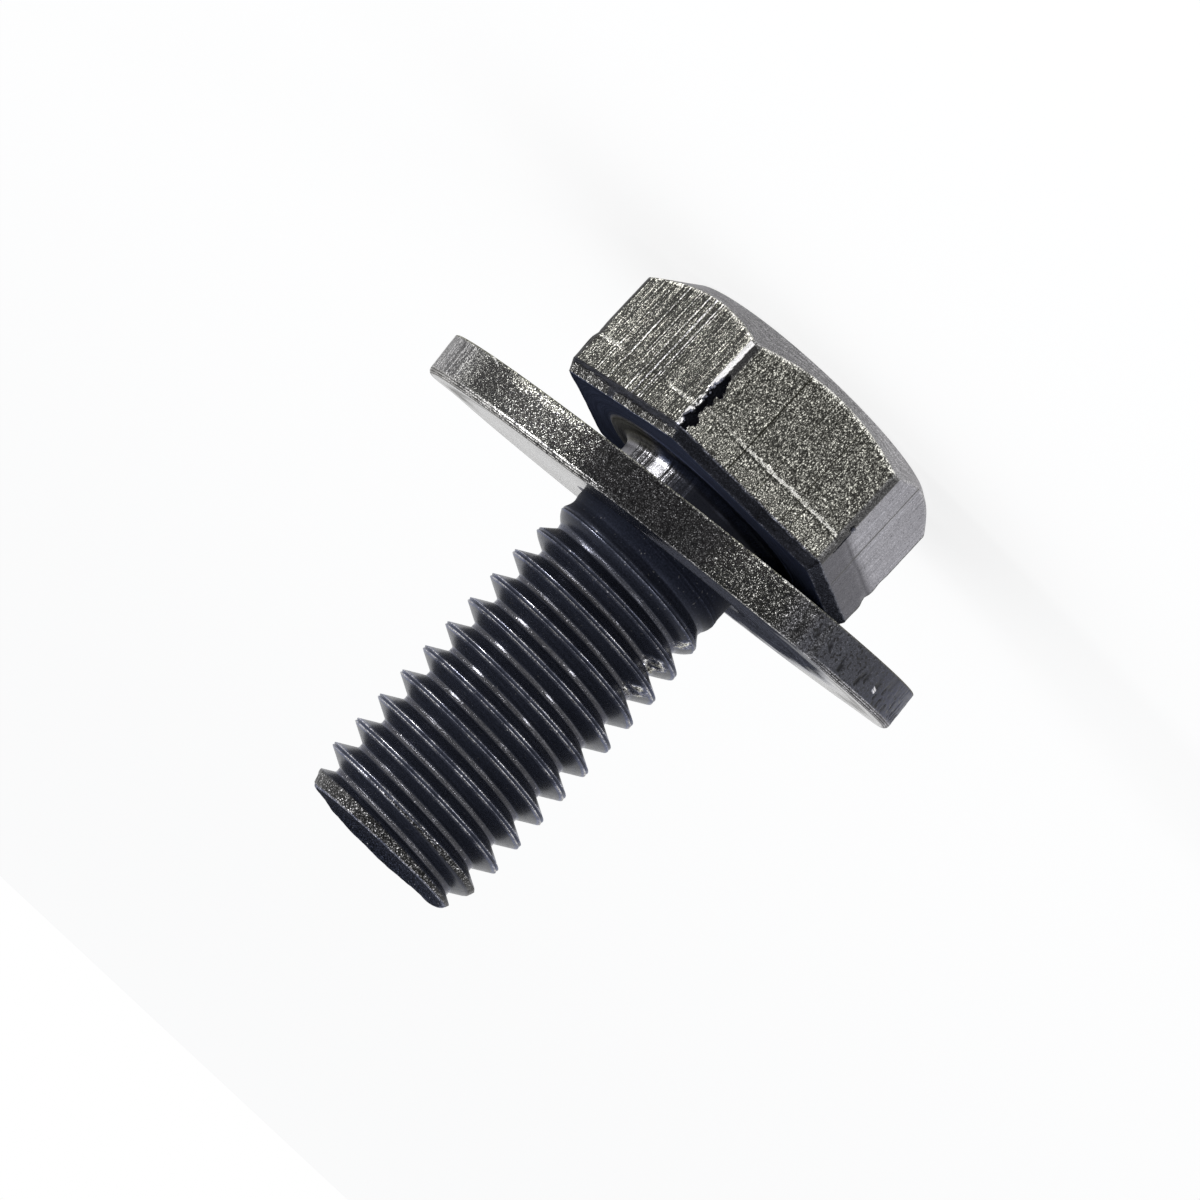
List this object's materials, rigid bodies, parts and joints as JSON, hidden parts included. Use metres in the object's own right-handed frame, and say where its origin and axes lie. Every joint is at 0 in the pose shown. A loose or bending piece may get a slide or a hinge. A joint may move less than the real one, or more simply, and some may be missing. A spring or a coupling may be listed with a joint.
{
  "type": "hexagon screw with captive washer",
  "caption": "Black steel hexagon-head screw with a short left-hand thread and a loose flat washer held captive under the head.",
  "frame": {"origin": "centre of the flat top of the head, which the screw stands on", "axes": "+Z along the screw from the head to the tip; +X towards a corner of the hexagon; -Y out of one of its flats"},
  "size_m": [0.0222, 0.0222, 0.0238],
  "materials": {
    "screw_steel": "black oxide, drawn and rolled",
    "washer_steel": "black oxide, blanked edge"
  },
  "bodies": {
    "screw": {"screw": "screw_steel"},
    "washer": {"flat_washer": "washer_steel"}
  },
  "joints": [
    {"name": "washer_spin", "type": "hinge", "parent": "screw", "child": "washer", "pos_m": [0, 0, 0.00753], "axis": [-0.0982, 0.0751, 0.9923], "continuous": true}
  ]
}
